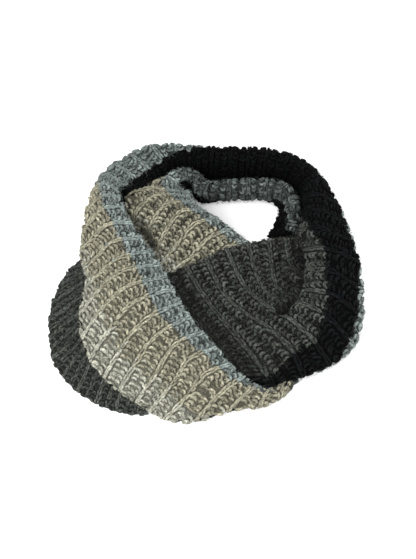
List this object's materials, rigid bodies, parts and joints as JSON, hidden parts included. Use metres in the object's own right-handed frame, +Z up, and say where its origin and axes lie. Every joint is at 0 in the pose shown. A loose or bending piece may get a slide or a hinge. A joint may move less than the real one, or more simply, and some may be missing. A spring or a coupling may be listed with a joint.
{
  "type": "infinity scarf",
  "caption": "Chunky ribbed knit infinity scarf with lengthwise stripes, doubled along its length, wound twice into a ring and laid flat round an open neck hole.",
  "frame": {"origin": "middle of the laid scarf's outline, on the surface that it lies on", "axes": "+X to the right across the laid ring, +Y towards its back, +Z up from the surface"},
  "size_m": [0.3657, 0.3396, 0.0645],
  "materials": {
    "cream_wool": "matt heathered wool, chunky ribbed knit",
    "beige_wool": "matt heathered wool, chunky ribbed knit",
    "blue_grey_wool": "matt heathered wool, chunky ribbed knit",
    "dark_grey_wool": "matt heathered wool, chunky ribbed knit",
    "black_wool": "matt wool, chunky ribbed knit"
  },
  "bodies": {
    "root": {"right_wrap": "dark_grey_wool", "back_wrap": "black_wool", "front_wrap": "cream_wool", "front_under_layer": "dark_grey_wool", "inner_back_wrap": "blue_grey_wool", "inner_front_wrap": "beige_wool"}
  },
  "joints": []
}
